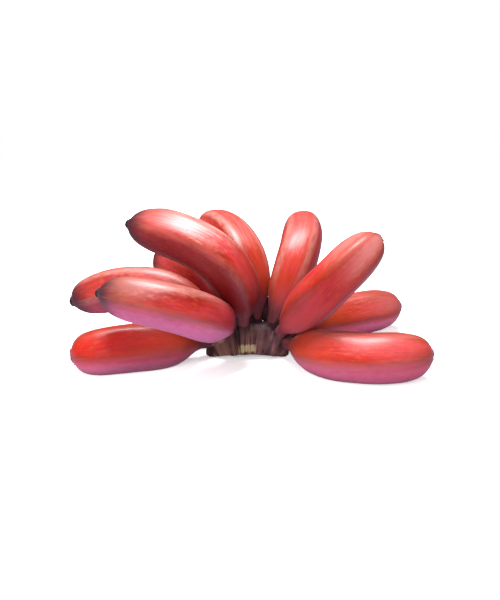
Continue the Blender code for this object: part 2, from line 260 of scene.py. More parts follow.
class StageSettings(bpy.types.PropertyGroup):
    """Floor, lights and camera."""

    elevation: FloatProperty(name="Camera height angle", description="Above the horizon",
                             subtype="ANGLE", default=math.radians(20.0))
    distance: FloatProperty(name="Camera distance", description="From the hand's middle",
                            unit="LENGTH", default=1.4, min=0.3)
    lens: FloatProperty(name="Lens", description="Focal length in millimetres", default=93.3,
                        min=20.0)
    floor: colour_setting("Floor", "Colour of the floor", (0.93, 0.93, 0.94))
    sky: FloatProperty(name="Surround", description="Light that the white surround gives",
                       default=0.07, min=0.0)
    glow: FloatProperty(name="Floor glow", description="Brightness added to the floor as seen",
                        default=0.62, min=0.0)
    bounce: colour_setting("Bounce", "Colour the floor throws upward", (0.58, 0.47, 0.60))
    key: FloatProperty(name="Overhead light", description="Power of the large soft light",
                       default=172.0, min=0.0)
    fill: FloatProperty(name="Fill light", description="Power of the low front light",
                        default=50.0, min=0.0)


# ---- shape -------------------------------------------------------------------------------


def smooth_value(table, x):
    """Monotone cubic through a table of (position, value), for a whole array at once."""
    xs, ys = np.array(table, float).T
    steps = np.diff(xs)
    rises = np.diff(ys) / steps
    slopes = np.concatenate(([rises[0]], np.zeros(len(xs) - 2), [rises[-1]]))
    same = rises[:-1] * rises[1:] > 0
    before = 2 * steps[1:] + steps[:-1]
    after = steps[1:] + 2 * steps[:-1]
    with np.errstate(divide="ignore", invalid="ignore"):
        middle = (before + after) / (before / rises[:-1] + after / rises[1:])
    slopes[1:-1] = np.where(same, middle, 0.0)
    x = np.clip(x, xs[0], xs[-1])
    i = np.clip(np.searchsorted(xs, x, side="right") - 1, 0, len(steps) - 1)
    t = (x - xs[i]) / steps[i]
    return ((1 + 2 * t) * (1 - t) ** 2 * ys[i] + t * (1 - t) ** 2 * steps[i] * slopes[i]
            + t * t * (3 - 2 * t) * ys[i + 1] + t * t * (t - 1) * steps[i] * slopes[i + 1])


def unit(vectors):
    """Vectors scaled to length one."""
    return vectors / np.linalg.norm(vectors, axis=-1, keepdims=True)


def spine(row, where):
    """Points and cross directions of a finger's centreline at lengths from its root.

    The line is the chord from root to tip plus a bow of 4t(1-t)(1+early(1-2t)) to one side,
    so it lies in one plane. The cross directions keep a fixed angle to that plane, which is
    how a ridge runs along it without twisting. Lengths outside the finger run on straight.
    """
    fan, lean = math.radians(row["fan"]), math.radians(row["lean"])
    heading = np.array((math.cos(lean) * math.cos(fan), math.sin(lean),
                        math.cos(lean) * math.sin(fan)))
    side = np.array((math.sin(fan), 0.0, -math.cos(fan)))
    front = np.array((math.sin(lean) * math.cos(fan), -math.cos(lean),
                      math.sin(lean) * math.sin(fan)))
    bow_by = side * row["side"] + front * row["front"]
    t = np.linspace(0.0, 1.0, WALK)
    bow = 4 * t * (1 - t) * (1 + row["early"] * (1 - 2 * t))
    points = (np.array(row["root"], float) + np.outer(t * row["reach"], heading)
              + np.outer(bow, bow_by))
    steps = np.linalg.norm(np.diff(points, axis=0), axis=1)
    lengths = np.concatenate(([0.0], np.cumsum(steps)))
    tangents = unit(np.gradient(points, axis=0))
    inside = np.clip(where, 0.0, lengths[-1])
    centre = np.stack([np.interp(inside, lengths, points[:, k]) for k in range(3)], axis=1)
    along = unit(np.stack([np.interp(inside, lengths, tangents[:, k]) for k in range(3)], axis=1))
    centre = centre + along * (where - inside)[:, None]
    plane = unit(np.cross(heading, bow_by))
    start = np.array((0.0, -1.0, 0.0))
    start = unit(start - tangents[0] * (start @ tangents[0]))
    across = np.cross(plane, tangents[0])
    angle = math.atan2(start @ plane, start @ across)
    normal = np.cross(plane, along) * math.cos(angle) + plane * math.sin(angle)
    return centre, normal, np.cross(along, normal), lengths[-1]


def finger_length(row):
    """Length of a finger's centreline in millimetres."""
    return spine(row, np.zeros(1))[3]


def waves(phase, share, seed, count=5):
    """Soft seeded unevenness over a finger: a sum of sines around and along it."""
    random = np.random.default_rng(seed)
    total = np.zeros(np.broadcast(phase, share).shape)
    for _ in range(count):
        around = random.integers(1, 4)
        length = random.uniform(1.0, 4.5)
        total = total + random.uniform(0.4, 1.0) * np.sin(
            around * phase + 2 * np.pi * (length * share + random.random()))
    return total / count


def ridged_section(phase, share, row, settings):
    """Radius factor of a soft five-sided section, one on average, and how near a ridge it is.

    Each flat face gives a cosine raised to the power p; the radius is the sum of the five to
    the power -1/p, over its mean round the ring. The ridges drift a few degrees along the
    finger, each in its own way.
    """
    random = np.random.default_rng(100 + row["seed"])
    total = np.zeros(np.broadcast(phase, share).shape)
    near = np.zeros_like(total)
    turn = math.radians(row["turn"])
    power = row["crisp"] * settings.crispness
    for k in range(RIDGES):
        drift = math.radians(settings.ridge_drift) * np.sin(
            2 * np.pi * (random.uniform(0.5, 0.9) * share + random.random()))
        face = turn + drift + math.radians(180 / RIDGES + 360 / RIDGES * k)
        total = total + np.maximum(0.0, np.cos(phase - face)) ** power
        edge = turn + drift + math.radians(360 / RIDGES * k)
        near = np.maximum(near, np.exp(RIDGE_LINE * (np.cos(phase - edge) - 1)))
    factor = total ** (-1 / power)
    return factor / factor.mean(axis=1, keepdims=True), near


def finger_surface(row, settings):
    """Grid of a finger's surface and the values its peel reads.

    Rings carried along the centreline. The radius is half the girth times the swell times the
    taper to the power blunt; the section goes from round at the neck to five-sided and back
    toward round at the tip, whose last rings follow a short profile out over a ragged rim and
    back into a small pit, flatter on a finger without a dark tip.
    """
    length = finger_length(row)
    past, shrink = np.array(TIP).T
    past = past * np.clip(0.4 + 1.2 * row["dark"], 0.0, 1.0)
    begin = row["start"] - NECK_INSIDE
    close = length - END_LENGTH
    where = np.concatenate((
        np.linspace(begin, close, settings.along - END_RINGS, endpoint=False),
        np.linspace(close, length, END_RINGS), length + past))
    shrink = np.concatenate((np.ones(settings.along), shrink))[:, None]
    centre, normal, across, _ = spine(row, where)
    phase = np.linspace(0.0, 2 * np.pi, settings.around, endpoint=False)[None, :]
    share = (where / length)[:, None]
    mm = where[:, None]
    half = row["girth"] / 2
    swell = np.where(share < SWELL_END, smooth_value(SWELL, mm * row["quick"]), 1.0)
    radius = half * swell * smooth_value(TAPER, share) ** row["blunt"]
    tucked = np.clip((row["start"] - mm) / NECK_INSIDE, 0.0, 1.0)
    radius = radius * (PEEL_OVER - NECK_TUCK * tucked)
    rim = RIM_FIVE * np.sin(5 * phase + row["seed"]) + RIM_ELEVEN * np.sin(11 * phase)
    dip, before, width = WAIST
    waist = np.exp(-((mm - length + before) / width) ** 2)
    radius = radius * shrink * (1 - dip * waist) * (1 + rim * np.clip(mm - length + 1, 0, 1))
    ridged = (np.clip(mm / NECK_LENGTH, 0.0, 1.0)
              * np.clip(RIDGE_FADE * (RIDGE_END - share), 0.0, 1.0))
    section, near = ridged_section(phase, share, row, settings)
    radius = radius * (1 + ridged * (section - 1))
    body = np.clip(mm / FIBRE_LENGTH, 0, 1) * np.clip((length - mm) / 10, 0, 1)
    radius = radius + settings.wobble * body * waves(phase, share, row["seed"])
    fibres = np.clip(1 - mm / FIBRE_LENGTH, 0, 1) * np.clip((mm - begin) / NECK_INSIDE, 0, 1)
    radius = radius + NECK_FIBRES * fibres * np.sin(6 * phase + 2 * row["seed"])
    spots = (centre[:, None, :] + (normal[:, None, :] * np.cos(phase)[..., None]
                                   + across[:, None, :] * np.sin(phase)[..., None])
             * radius[..., None])
    spots[..., 2] = np.maximum(spots[..., 2], 0.0)
    grain = np.stack(np.broadcast_arrays(np.cos(phase), np.sin(phase), GRAIN_PITCH * mm),
                     axis=-1)
    near = near * np.clip(mm / NECK_LENGTH, 0.0, 1.0)
    to_tip = np.minimum.accumulate(length - where)[:, None]
    values = {"from_root": np.broadcast_to(mm, near.shape),
              "to_tip": np.broadcast_to(to_tip, near.shape),
              "ridge": near}
    return spots, grain, values


def grid_mesh(name, spots, grain, values):
    """A closed mesh from rings of points: quads between rings and a fan over each end."""
    rows, cols = spots.shape[:2]
    ends = np.array([spots[0].mean(axis=0), spots[-1].mean(axis=0)])
    vertices = np.concatenate((spots.reshape(-1, 3), ends)) + OFFSET
    i, j = np.meshgrid(np.arange(rows - 1), np.arange(cols), indexing="ij")
    k = (j + 1) % cols
    quads = np.stack((i * cols + j, i * cols + k, (i + 1) * cols + k, (i + 1) * cols + j), axis=-1)
    ring = np.arange(cols)
    after = (ring + 1) % cols
    first = np.stack((after, ring, np.full(cols, rows * cols)), axis=-1)
    last_row = (rows - 1) * cols
    last = np.stack((last_row + ring, last_row + after, np.full(cols, rows * cols + 1)), axis=-1)
    faces = quads.reshape(-1, 4).tolist() + first.tolist() + last.tolist()
    mesh = bpy.data.meshes.new(name)
    mesh.from_pydata((vertices * MM).tolist(), [], faces)
    mesh.polygons.foreach_set("use_smooth", np.ones(len(faces), bool))
    for key, value in values.items():
        flat = np.concatenate((value.reshape(-1), [value[0].mean(), value[-1].mean()]))
        mesh.attributes.new(key, "FLOAT", "POINT").data.foreach_set("value", flat)
    flat = np.concatenate((grain.reshape(-1, 3), [grain[0].mean(axis=0), grain[-1].mean(axis=0)]))
    mesh.attributes.new("grain", "FLOAT_VECTOR", "POINT").data.foreach_set("vector", flat.ravel())
    mesh.validate()
    mesh.update()
    return mesh


def read_vectors(mesh, key):
    """A vector of every vertex, one to a row."""
    flat = np.empty(len(mesh.vertices) * 3)
    mesh.vertices.foreach_get(key, flat)
    return flat.reshape(-1, 3)


def show(name, mesh, material, node):
    """A finished piece in the scene in place of its solid."""
    piece = bpy.data.objects.new(name, mesh)
    bpy.context.scene.collection.objects.link(piece)
    mesh.materials.clear()
    mesh.materials.append(material)
    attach(piece, "root")
    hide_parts(node)
    return piece


def build_fingers(names):
    """Every named finger as one piece with its own peel."""
    settings = bpy.context.scene.peel_settings
    for name in names:
        row = FINGERS[name]
        mesh = grid_mesh(name + "_peel", *finger_surface(row, settings))
        low, high = (np.array(corner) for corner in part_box(name))
        found = read_vectors(mesh, "co")
        gap = max(np.abs(found.min(axis=0) - low).max(), np.abs(found.max(axis=0) - high).max())
        if gap > OFF_SOLID:
            raise RuntimeError(f"{name} stands {gap / MM:.1f} mm off its solid")
        show(name + "_peel", mesh, peel_material(name, row, settings), name)


def round_lump(centre, radii):
    """A closed ellipsoid by its two angles, in millimetres: one dark fill between the necks."""
    tall = np.linspace(-np.pi / 2, np.pi / 2, SHADE_FILL_RINGS + 2)[1:-1, None]
    turn = np.linspace(0.0, 2 * np.pi, SHADE_FILL_SIDES, endpoint=False)[None, :]
    spots = np.stack((np.cos(tall) * np.cos(turn) * radii[0],
                      np.cos(tall) * np.sin(turn) * radii[1],
                      np.sin(tall) * radii[2] + 0 * turn), axis=-1) + centre
    return grid_mesh("shade_fill", spots, np.zeros_like(spots), {})


def build_crown():
    """The crown: its solid and the dark fills between the upper necks remeshed as one, smoothed,
    and fibres raised on it.

    The fibres fan out from a line under the crown: their height is a sum of sines of the
    angle about that line, wandering slowly with depth and with distance from the line. It
    fades out on faces that look up or down.
    """
    settings = bpy.context.scene.crown_settings
    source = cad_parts["crown"]
    mesh = source.data.copy()
    merged = bmesh.new()
    merged.from_mesh(mesh)
    for centre, radii in SHADE_FILLS:
        shade_fill = round_lump(centre, radii)
        merged.from_mesh(shade_fill)
        bpy.data.meshes.remove(shade_fill)
    bmesh.ops.remove_doubles(merged, verts=merged.verts, dist=WELD)
    merged.to_mesh(mesh)
    merged.free()
    rough = bpy.data.objects.new("crown_rough", mesh)
    bpy.context.scene.collection.objects.link(rough)
    remesh = rough.modifiers.new("remesh", "REMESH")
    remesh.mode = "VOXEL"
    remesh.voxel_size = settings.voxel
    smooth = rough.modifiers.new("smooth", "SMOOTH")
    smooth.factor = 0.5
    smooth.iterations = settings.smoothing
    graph = bpy.context.evaluated_depsgraph_get()
    fine = bpy.data.meshes.new_from_object(rough.evaluated_get(graph))
    fine.name = "crown_bark"
    bpy.data.objects.remove(rough, do_unlink=True)
    count = len(fine.vertices)
    spots = read_vectors(fine, "co")
    normals = read_vectors(fine, "normal")
    local = spots / MM - OFFSET
    angle = np.arctan2(local[:, 0] - FAN_X, local[:, 2] - FAN_Z)
    height = np.hypot(local[:, 0] - FAN_X, local[:, 2] - FAN_Z)
    depth = local[:, 1]
    random = np.random.default_rng(7)
    relief = np.zeros(count)
    for k in range(FIBRE_WAVES):
        pitch = random.uniform(14, 70)
        relief += np.sin(pitch * angle + random.uniform(0.1, 0.35) * depth
                         + 1.1 * np.sin(0.09 * height + k) + random.uniform(0, 6.3))
    relief = relief / 4.0
    upright = 1 - np.clip(np.abs(normals[:, 2]) * 1.3 - 0.3, 0.0, 1.0)
    moved = spots + normals * (relief * upright * settings.rib_depth * MM * 0.5)[:, None]
    moved[:, 2] = np.maximum(moved[:, 2], 0.0)
    fine.vertices.foreach_set("co", moved.ravel())
    fine.attributes.new("relief", "FLOAT", "POINT").data.foreach_set("value", relief)
    fan = np.stack((angle * 40, depth, height * 0.12), axis=1)
    fine.attributes.new("grain", "FLOAT_VECTOR", "POINT").data.foreach_set("vector", fan.ravel())
    fine.polygons.foreach_set("use_smooth", np.ones(len(fine.polygons), bool))
    fine.update()
    show("crown_bark", fine, bark_material(settings), "crown")


# ---- finish ------------------------------------------------------------------------------


class Wiring:
    """Adds nodes to a tree and links them in few words."""

    def __init__(self, tree):
        self.tree = tree

    def add(self, kind, **values):
        """A new node with its settings."""
        node = self.tree.nodes.new(kind)
        for key, value in values.items():
            setattr(node, key, value)
        return node

    def link(self, source, target):
        self.tree.links.new(source, target)

    def feed(self, target, value):
        """Link a socket to the target, or set the target's own value; a colour gets alpha 1."""
        if isinstance(value, bpy.types.NodeSocket):
            self.link(value, target)
        elif isinstance(value, tuple) and len(value) == 3 and len(target.default_value) == 4:
            target.default_value = (*value, 1.0)
        else:
            target.default_value = value

    def math(self, operation, a, b=0.5, c=0.5):
        """One operation on up to three numbers."""
        node = self.add("ShaderNodeMath", operation=operation)
        for socket, value in zip(node.inputs, (a, b, c)):
            self.feed(socket, value)
        return node.outputs[0]

    def mix(self, share, a, b):
        """Colour a at share 0, colour b at share 1. Sockets 6 and 7 are the two colours."""
        node = self.add("ShaderNodeMix", data_type="RGBA")
        self.feed(node.inputs["Factor"], share)
        self.feed(node.inputs[6], a)
        self.feed(node.inputs[7], b)
        return node.outputs[2]

    def ramp(self, value, low, high, to_low=0.0, to_high=1.0):
        """Smooth step from to_low at value low to to_high at value high."""
        node = self.add("ShaderNodeMapRange", interpolation_type="SMOOTHSTEP")
        self.feed(node.inputs["Value"], value)
        for key, number in (("From Min", low), ("From Max", high), ("To Min", to_low),
                            ("To Max", to_high)):
            self.feed(node.inputs[key], number)
        return node.outputs["Result"]

    def stretch(self, vector, scale):
        """A vector times a scale, axis by axis."""
        node = self.add("ShaderNodeMapping")
        self.feed(node.inputs["Vector"], vector)
        self.feed(node.inputs["Scale"], scale)
        return node.outputs["Vector"]

    def noise(self, vector, scale, detail=3.0, roughness=0.5):
        """Cloudy noise, about 0.5 on average."""
        node = self.add("ShaderNodeTexNoise")
        self.feed(node.inputs["Vector"], vector)
        self.feed(node.inputs["Scale"], scale)
        self.feed(node.inputs["Detail"], detail)
        self.feed(node.inputs["Roughness"], roughness)
        return node.outputs["Fac"]


def new_group(name, inputs, outputs):
    """An empty shader node group with named sockets, its inputs and its output node."""
    tree = bpy.data.node_groups.new(name, "ShaderNodeTree")
    for label, kind in inputs:
        tree.interface.new_socket(label, in_out="INPUT", socket_type=kind)
    for label, kind in outputs:
        tree.interface.new_socket(label, in_out="OUTPUT", socket_type=kind)
    wires = Wiring(tree)
    return wires, wires.add("NodeGroupInput").outputs, wires.add("NodeGroupOutput").inputs


def streaks_group():
    """Fine streaks and broad patches that run along a grown surface."""
    if "grown_streaks" in bpy.data.node_groups:
        return bpy.data.node_groups["grown_streaks"]
    wires, given, out = new_group(
        "grown_streaks",
        (("Grain", "NodeSocketVector"), ("Seed", "NodeSocketFloat")),
        (("Patches", "NodeSocketFloat"), ("Streaks", "NodeSocketFloat"),
         ("Mottle", "NodeSocketFloat")))
    shift = wires.add("ShaderNodeCombineXYZ")
    for axis in range(3):
        wires.link(given["Seed"], shift.inputs[axis])
    place = wires.add("ShaderNodeVectorMath", operation="ADD")
    wires.link(given["Grain"], place.inputs[0])
    wires.link(shift.outputs[0], place.inputs[1])
    moved = place.outputs[0]
    wires.link(wires.noise(wires.stretch(moved, (1.0, 1.0, 0.42)), 1.3, 3.0, 0.55), out["Patches"])
    wires.link(wires.noise(wires.stretch(moved, (9.0, 9.0, 0.7)), 1.5, 5.0, 0.6), out["Streaks"])
    wires.link(wires.noise(wires.stretch(moved, (3.0, 3.0, 1.6)), 2.6, 5.0, 0.65), out["Mottle"])
    return wires.tree


def specks_group():
    """Small dark specks of uneven size, thinly spread."""
    if "small_specks" in bpy.data.node_groups:
        return bpy.data.node_groups["small_specks"]
    wires, given, out = new_group(
        "small_specks", (("Scale", "NodeSocketFloat"), ("Amount", "NodeSocketFloat")),
        (("Specks", "NodeSocketFloat"),))
    place = wires.add("ShaderNodeTexCoord").outputs["Object"]
    cells = wires.add("ShaderNodeTexVoronoi", feature="F1")
    wires.link(place, cells.inputs["Vector"])
    wires.link(given["Scale"], cells.inputs["Scale"])
    thin = wires.ramp(wires.noise(place, 60.0, 2.0), 0.50, 0.75)
    near = wires.math("DIVIDE", cells.outputs["Distance"], given["Amount"])
    spot = wires.ramp(near, 0.4, 1.0, 1.0, 0.0)
    wires.link(wires.math("MULTIPLY", spot, thin), out["Specks"])
    return wires.tree


def attribute(wires, name, output="Fac"):
    """A value that the mesh carries."""
    return wires.add("ShaderNodeAttribute", attribute_name=name).outputs[output]


def new_material(name):
    """A material with its Principled shader and a helper to wire it."""
    material = bpy.data.materials.new(name)
    material.use_nodes = True
    return material, Wiring(material.node_tree), material.node_tree.nodes["Principled BSDF"]


def peel_material(name, row, settings):
    """Waxy red peel: patches, streaks, warm neck end, olive tip end, ridges, specks, dark tip.

    Undersides and tops are tinted by the surface's own direction, so they turn with the hand:
    painted shade on some undersides, pinker undersides that are part waxy bloom and part painted
    reflection of the floor, and a painted highlight on tops. A painted highlight also runs along
    the ridges, and painted shade darkens some fingers toward the neck.
    """
    material, wires, shader = new_material(name + "_skin")
    mm = attribute(wires, "from_root")
    to_tip = attribute(wires, "to_tip")
    ridge = attribute(wires, "ridge")
    grain = attribute(wires, "grain", "Vector")
    streaks = wires.add("ShaderNodeGroup", node_tree=streaks_group())
    wires.link(grain, streaks.inputs["Grain"])
    streaks.inputs["Seed"].default_value = row["seed"] * SEED_STEP
    patches, lines, mottle = (streaks.outputs[key] for key in ("Patches", "Streaks", "Mottle"))
    specks = wires.add("ShaderNodeGroup", node_tree=specks_group())
    specks.inputs["Scale"].default_value = SPECK_SCALE
    specks.inputs["Amount"].default_value = SPECK_SIZE

    deep = wires.ramp(patches, 0.36, 0.64, 0.0, row["deep"])
    colour = wires.mix(deep, tuple(settings.red), tuple(settings.deep_red))
    colour = wires.mix(wires.ramp(lines, 0.44, 0.64, 0.0, 0.50), colour, tuple(settings.deep_red))
    colour = wires.mix(wires.ramp(mottle, 0.44, 0.70, 0.0, 0.42), colour, tuple(settings.orange))
    warm = wires.math("MULTIPLY_ADD", patches, 60.0, mm)
    warm = wires.ramp(warm, 55.0, 120.0, 0.75 * row["orange"], 0.0)
    colour = wires.mix(warm, colour, tuple(settings.orange))
    edge = wires.math("MULTIPLY", ridge, wires.ramp(lines, 0.30, 0.65, 0.15, 0.55))
    colour = wires.mix(edge, colour, tuple(settings.olive))
    # Painted highlight: a pale streak along the ridges, in the highlight colour.
    waxy = wires.math("MULTIPLY", wires.ramp(ridge, 0.55, 1.0),
                      wires.ramp(mm, 30.0, 60.0, 0.0, row["ridge_highlight"]))
    waxy = wires.math("MULTIPLY", waxy, wires.ramp(mottle, 0.30, 0.60, 0.4, 1.0))
    green = wires.math("MULTIPLY_ADD", mottle, 50.0, to_tip)
    green = wires.ramp(green, 28.0, 78.0, 0.7 * row["olive"], 0.0)
    colour = wires.mix(green, colour, tuple(settings.olive))
    veil = wires.math("MULTIPLY_ADD", mottle, 0.5, patches)
    colour = wires.mix(wires.ramp(veil, 0.62, 0.80, 0.34 * row["bloom"], 0.0), colour,
                       tuple(settings.bloom))
    pale = wires.math("MULTIPLY_ADD", patches, -30.0, to_tip)
    pale = wires.math("MULTIPLY", wires.ramp(pale, 4.0, 46.0, row["pale"], 0.0),
                      wires.ramp(wires.math("SUBTRACT", mottle, ridge), -0.3, 0.5, 0.35, 1.0))
    colour = wires.mix(pale, colour, tuple(settings.tan))
    slope = wires.add("ShaderNodeSeparateXYZ")
    wires.link(wires.add("ShaderNodeTexCoord").outputs["Normal"], slope.inputs[0])
    turned = wires.math("MULTIPLY_ADD", mottle, 0.5, slope.outputs["Z"])
    # Painted shade: undersides that face down turn dark red, by the surface's own direction.
    dim = wires.ramp(turned, -0.20, 0.75, row["under_shade"], 0.0)
    # Painted shade: darker red toward the neck, where the fingers crowd together.
    painted_neck_shade = wires.ramp(wires.math("MULTIPLY_ADD", mottle, 30.0, mm), 60.0, 120.0,
                        row["neck_shade"], 0.0)
    colour = wires.mix(wires.math("MAXIMUM", dim, painted_neck_shade), colour, tuple(settings.shade_maroon))
    # Pinker, and palest lilac at the very bottom, on undersides: part waxy bloom and part painted
    # reflection of the white floor.
    under = wires.ramp(turned, -0.80, 0.62, 1.0, 0.0)
    tint = tuple(a + row["violet"] * b for a, b in zip(settings.pink, VIOLET_PINK))
    colour = wires.mix(wires.math("MULTIPLY", under, row["pink"]), colour, tint)
    lowest = wires.ramp(turned, -0.90, 0.05, 0.85 * row["pink"], 0.0)
    tint = tuple(a + row["violet"] * b for a, b in zip(settings.lilac, VIOLET_LILAC))
    colour = wires.mix(lowest, colour, tint)
    # Painted highlight on the tops that face up, away from the tip.
    top = wires.ramp(turned, 0.80, 1.16, 0.0, row["painted_highlight"])
    top = wires.math("MULTIPLY", top, wires.ramp(lines, 0.35, 0.62, 1.0, 0.35))
    top = wires.math("MULTIPLY", top, wires.ramp(mm, 35.0, 75.0))
    top = wires.math("MULTIPLY", top, wires.ramp(to_tip, 22.0, 60.0, 0.15, 1.0))
    colour = wires.mix(top, colour, tuple(settings.painted_highlight))
    # The painted highlight along the ridges is mixed in here.
    colour = wires.mix(waxy, colour, tuple(settings.painted_highlight))
    colour = wires.mix(wires.math("MULTIPLY", specks.outputs["Specks"], 0.6), colour,
                       tuple(settings.tip))
    ragged = wires.math("MULTIPLY_ADD", lines, 12.0, mm)
    neck = wires.ramp(ragged, 13.0 + row["brown"], 27.0 + 1.5 * row["brown"], 1.0, 0.0)
    neck_colour = wires.mix(wires.ramp(lines, 0.35, 0.7), tuple(settings.neck),
                            tuple(0.45 * part for part in settings.neck))
    colour = wires.mix(neck, colour, neck_colour)
    ragged_tip = wires.math("MULTIPLY_ADD", lines, 4.0, to_tip)
    spread = 4.0 + 16.0 * row["dark"]
    streaky = wires.math("MULTIPLY_ADD", lines, spread,
                         wires.math("ADD", to_tip, 2.0 - 0.5 * spread))
    near_tip = wires.ramp(streaky, 2.0 + 3.0 * row["dark"], 6.0 + 19.0 * row["dark"],
                          min(0.97, 0.2 + 0.9 * row["dark"]), 0.0)
    colour = wires.mix(near_tip, colour, tuple(settings.bruise))
    dried = wires.ramp(ragged_tip, 0.4, 1.2 + 3.2 * row["dark"], 1.0, 0.0)
    fresh = 1 - min(1.0, 2 * row["dark"])
    nub = tuple(a + fresh * b for a, b in zip(settings.tip, FRESH_TIP))
    colour = wires.mix(dried, colour, nub)
    wires.link(colour, shader.inputs["Base Color"])

    dull = wires.math("MAXIMUM", neck, dried)
    rough = wires.ramp(mottle, 0.3, 0.8, settings.roughness - 0.04, settings.roughness + 0.07)
    rough = wires.math("MULTIPLY_ADD", dull, 0.25, rough)
    matt = wires.ramp(to_tip, 25.0, 60.0, 0.16 * min(1.0, row["dark"]), 0.0)
    rough = wires.math("ADD", rough, matt)
    wires.link(rough, shader.inputs["Roughness"])
    pores = wires.noise(wires.add("ShaderNodeTexCoord").outputs["Object"], 900.0, 2.0)
    height = wires.math("MULTIPLY_ADD", lines, 0.5, wires.math("MULTIPLY", pores, 0.25))
    height = wires.math("MULTIPLY_ADD", wires.math("MULTIPLY", dull, lines), 1.6, height)
    bump = wires.add("ShaderNodeBump")
    bump.inputs["Strength"].default_value = 0.30
    bump.inputs["Distance"].default_value = 0.0004
    wires.link(height, bump.inputs["Height"])
    wires.link(bump.outputs["Normal"], shader.inputs["Normal"])
    shader.inputs["Specular IOR Level"].default_value = 0.72 * row["gloss"]
    shader.inputs["Specular Tint"].default_value = (0.94, 0.90, 0.95, 1.0)
    shader.inputs["Coat Weight"].default_value = 0.10 * row["gloss"]
    shader.inputs["Coat Roughness"].default_value = 0.24
    shader.inputs["Sheen Weight"].default_value = 0.04
    shader.inputs["Sheen Roughness"].default_value = 0.35
    shader.inputs["Sheen Tint"].default_value = (0.95, 0.62, 0.90, 1.0)
    return material


def bark_material(settings):
    """Fibrous crown: streaked brown and purple grey, painted shade in its grooves and toward its
    top, a paler cut below.

    In front it has a scar of torn flesh, and on its left end a dark heel with a pale notch,
    all three in colour only.
    """
    material, wires, shader = new_material("crown_skin")
    grain = attribute(wires, "grain", "Vector")
    relief = attribute(wires, "relief")
    place = wires.add("ShaderNodeTexCoord").outputs["Object"]
    axes = wires.add("ShaderNodeSeparateXYZ")
    wires.link(place, axes.inputs[0])
    fibres = wires.noise(wires.stretch(grain, (1.0, 0.12, 0.35)), 0.9, 5.0, 0.6)
    broad = wires.noise(place, 55.0, 2.0)
    side = wires.math("MULTIPLY_ADD", broad, 0.05, axes.outputs["X"])
    colour = wires.mix(wires.ramp(side, 0.005, 0.055), tuple(settings.bark),
                       tuple(settings.purple))
    colour = wires.mix(wires.ramp(fibres, 0.40, 0.66), colour, tuple(settings.shade))
    colour = wires.mix(wires.ramp(broad, 0.45, 0.7, 0.0, 0.5), colour,
                       tuple(1.5 * part for part in settings.bark))
    # Painted shade in the dips between the raised fibres.
    colour = wires.mix(wires.ramp(relief, -0.9, 0.0, 0.8, 0.0), colour, tuple(settings.shade))
    # Painted shade: darker toward the top, where the crown and its dark gap fills stand for the
    # shade between the upper necks.
    high = wires.math("MULTIPLY_ADD", broad, 0.008, axes.outputs["Z"])
    colour = wires.mix(wires.ramp(high, 0.018, 0.036, 0.0, 0.85), colour, tuple(settings.shade))
    slope = wires.add("ShaderNodeSeparateXYZ")
    wires.link(wires.add("ShaderNodeTexCoord").outputs["Normal"], slope.inputs[0])
    under = wires.ramp(slope.outputs["Z"], -0.95, -0.7, 1.0, 0.0)
    colour = wires.mix(wires.math("MULTIPLY", under, 0.7), colour, tuple(settings.flesh))
    ragged = wires.math("MULTIPLY_ADD", fibres, 0.006, -0.003)
    edge_x = wires.math("ABSOLUTE", wires.math("SUBTRACT", axes.outputs["X"], SCAR_X))
    edge_x = wires.ramp(wires.math("ADD", edge_x, ragged), 0.0050, 0.0085, 1.0, 0.0)
    edge_z = wires.math("ABSOLUTE", wires.math("SUBTRACT", axes.outputs["Z"], SCAR_Z))
    edge_z = wires.ramp(wires.math("ADD", edge_z, ragged), 0.0022, 0.0044, 1.0, 0.0)
    edge_y = wires.ramp(axes.outputs["Y"], -0.022, -0.026)
    scar = wires.math("MULTIPLY", wires.math("MULTIPLY", edge_x, edge_z), edge_y)
    scar = wires.math("MULTIPLY", scar, wires.ramp(fibres, 0.42, 0.70, 1.0, 0.45))
    colour = wires.mix(scar, colour, tuple(settings.flesh))
    heel_x = wires.ramp(axes.outputs["X"], *HEEL_X, 1.0, 0.0)
    heel_z = wires.ramp(wires.math("ADD", axes.outputs["Z"], ragged), *HEEL_TOP, 1.0, 0.0)
    heel = wires.math("MULTIPLY", heel_x, heel_z)
    colour = wires.mix(wires.math("MULTIPLY", heel, 0.7), colour, tuple(settings.shade))
    notch_z = wires.math("ABSOLUTE", wires.math("SUBTRACT", axes.outputs["Z"], NOTCH_Z))
    notch_z = wires.ramp(notch_z, 0.0007, 0.0017, 0.6, 0.0)
    colour = wires.mix(wires.math("MULTIPLY", heel_x, notch_z), colour, tuple(settings.flesh))
    wires.link(colour, shader.inputs["Base Color"])
    wires.link(wires.ramp(fibres, 0.3, 0.7, 0.62, 0.85), shader.inputs["Roughness"])
    bump = wires.add("ShaderNodeBump")
    bump.inputs["Strength"].default_value = 0.7
    bump.inputs["Distance"].default_value = 0.0009
    wires.link(fibres, bump.inputs["Height"])
    wires.link(bump.outputs["Normal"], shader.inputs["Normal"])
    return material


# ---- stage -------------------------------------------------------------------------------


def soft_light(name, size, power, place, target):
    """A white rectangular area light at a place, turned to a target, in metres and watts."""
    light = bpy.data.lights.new(name, "AREA")
    light.shape = "RECTANGLE"
    light.size, light.size_y = size
    light.energy = power
    lamp = bpy.data.objects.new(name, light)
    bpy.context.scene.collection.objects.link(lamp)
    lamp.location = place
    aim(lamp, target)
    return lamp


def aim(thing, target):
    """Turn an object so that its -Z axis points at a target and its top stays up."""
    heading = Vector(target) - Vector(thing.location)
    thing.rotation_euler = heading.to_track_quat("-Z", "Y").to_euler()


